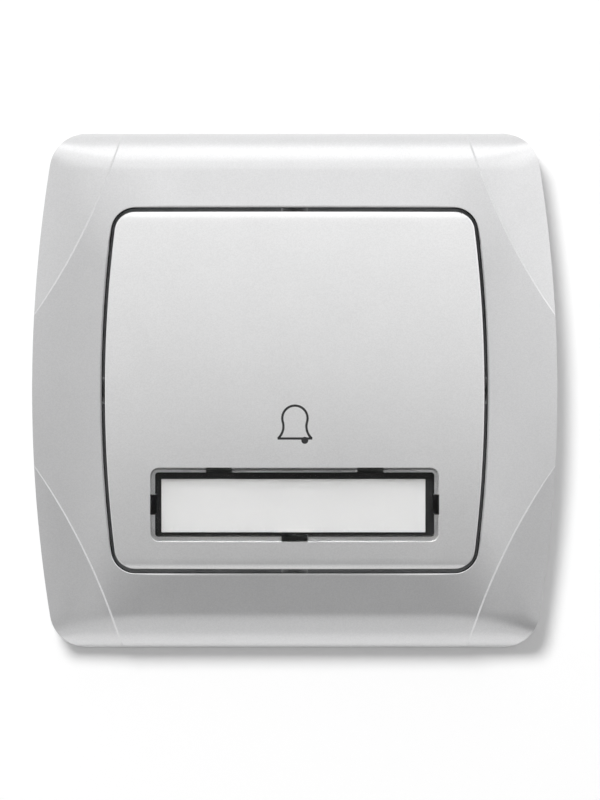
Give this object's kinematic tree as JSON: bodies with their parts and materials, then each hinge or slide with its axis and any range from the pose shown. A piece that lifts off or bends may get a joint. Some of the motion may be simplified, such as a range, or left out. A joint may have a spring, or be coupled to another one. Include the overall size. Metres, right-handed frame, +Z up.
{
  "type": "doorbell push button",
  "caption": "Flush doorbell push for a wall box: silver frame with creased corners, large rocker with a name window, and a mechanism insert with screw claws.",
  "frame": {"origin": "centre of the cover frame in the plane of the wall, which is also the centre of the box screw pattern", "axes": "+X to the right seen from the front, +Z up, the front faces -Y and the mechanism goes into the wall along +Y"},
  "size_m": [0.084, 0.0325, 0.0824],
  "materials": {
    "silver_paint": "satin metallic silver paint on moulded plastic",
    "clear_plastic": "clear polycarbonate, polished",
    "white_card": "blank white card",
    "black_plastic": "fine matt black",
    "zinc_steel": "bright zinc plate",
    "housing_plastic": "light grey moulded plastic",
    "carrier_plastic": "dark grey moulded plastic",
    "spring_steel": "bright drawn wire",
    "contact_brass": "bright stamped brass"
  },
  "bodies": {
    "wall_unit": {"cover_frame": "silver_paint", "mounting_plate": "zinc_steel", "mechanism_cover": "housing_plastic", "mechanism_base": "housing_plastic", "return_spring": "spring_steel", "fixed_contact_left": "contact_brass", "terminal_left": "contact_brass", "terminal_screw_left": "zinc_steel", "fixed_contact_right": "contact_brass", "terminal_right": "contact_brass", "terminal_screw_right": "zinc_steel"},
    "push_rocker": {"rocker": "silver_paint", "label_cover": "clear_plastic", "label_card": "white_card", "label_tray": "black_plastic", "rocker_carrier": "carrier_plastic", "contact_bridge": "contact_brass"},
    "claw_screw_left": {"claw_screw_left": "zinc_steel"},
    "claw_nut_left": {"claw_nut_left": "zinc_steel"},
    "claw_left": {"claw_left": "zinc_steel"},
    "claw_screw_right": {"claw_screw_right": "zinc_steel"},
    "claw_nut_right": {"claw_nut_right": "zinc_steel"},
    "claw_right": {"claw_right": "zinc_steel"}
  },
  "joints": [
    {"name": "rocker_tilt", "type": "hinge", "parent": "wall_unit", "child": "push_rocker", "pos_m": [0, -0.0026, 0], "axis": [1, 0, 0], "range_deg": [0, 4], "stiffness_Nm_per_rad": 0.35, "springref_deg": -3.44, "deforming": ["return_spring"]},
    {"name": "claw_screw_turn_left", "type": "hinge", "parent": "wall_unit", "child": "claw_screw_left", "pos_m": [-0.023, 0, 0], "axis": [0, 1, 0], "range_deg": [0, 2700]},
    {"name": "claw_nut_slide_left", "type": "slide", "parent": "wall_unit", "child": "claw_nut_left", "axis": [0, -1, 0], "range_m": [0, 0.006]},
    {"name": "claw_slide_left", "type": "slide", "parent": "wall_unit", "child": "claw_left", "axis": [-0.4472, -0.8944, 0], "range_m": [0, 0.00671]},
    {"name": "claw_screw_turn_right", "type": "hinge", "parent": "wall_unit", "child": "claw_screw_right", "pos_m": [0.023, 0, 0], "axis": [0, 1, 0], "range_deg": [0, 2700]},
    {"name": "claw_nut_slide_right", "type": "slide", "parent": "wall_unit", "child": "claw_nut_right", "axis": [0, -1, 0], "range_m": [0, 0.006]},
    {"name": "claw_slide_right", "type": "slide", "parent": "wall_unit", "child": "claw_right", "axis": [0.4472, -0.8944, 0], "range_m": [0, 0.00671]}
  ],
  "couplings": [
    {"joint": "claw_screw_turn_left", "follows": "claw_nut_slide_left", "rad_per_m": 7854},
    {"joint": "claw_slide_left", "follows": "claw_nut_slide_left", "ratio": 1.118},
    {"joint": "claw_screw_turn_right", "follows": "claw_nut_slide_right", "rad_per_m": 7854},
    {"joint": "claw_slide_right", "follows": "claw_nut_slide_right", "ratio": 1.118}
  ]
}
